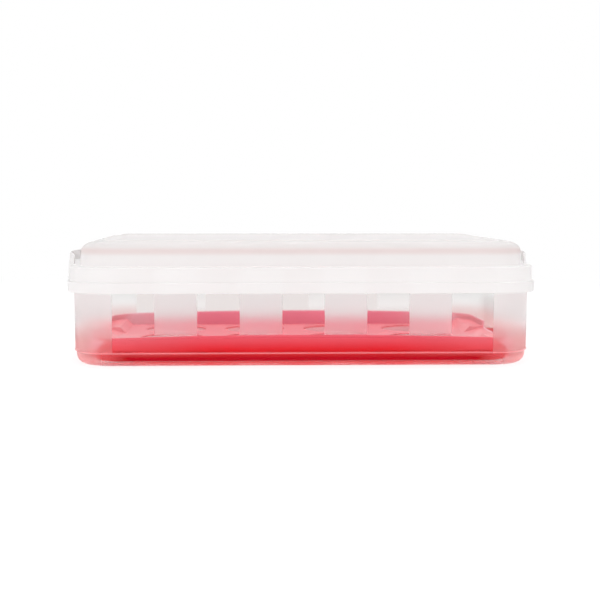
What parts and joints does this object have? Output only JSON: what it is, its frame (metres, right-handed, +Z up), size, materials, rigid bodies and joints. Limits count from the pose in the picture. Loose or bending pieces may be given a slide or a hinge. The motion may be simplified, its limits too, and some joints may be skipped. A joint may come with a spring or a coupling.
{
  "type": "candy storage box",
  "caption": "Low rectangular storage box for sweets or cakes: frosted container with rounded corners, domed lift-off lid with end grips, and a loose red tray with round wells.",
  "frame": {"origin": "on the table under the middle of the box", "axes": "+X along the length, +Z up, the front faces -Y"},
  "size_m": [0.435, 0.252, 0.109],
  "materials": {
    "frosted_plastic": "frosted translucent polypropylene with clear polished upright bands",
    "lid_plastic": "milky translucent polypropylene, satin",
    "red_plastic": "red translucent plastic, glossy"
  },
  "bodies": {
    "container": {"container": "frosted_plastic"},
    "lid": {"lid": "lid_plastic"},
    "tray": {"tray": "red_plastic"}
  },
  "joints": [
    {"name": "lid_lift", "type": "slide", "parent": "container", "child": "lid", "axis": [0, 0, 1], "range_m": [0, 0.3]},
    {"name": "tray_lift", "type": "slide", "parent": "container", "child": "tray", "axis": [0, 0, 1], "range_m": [0, 0.15]}
  ],
  "couplings": [
    {"joint": "tray_lift", "follows": "lid_lift", "ratio": 0.5}
  ]
}
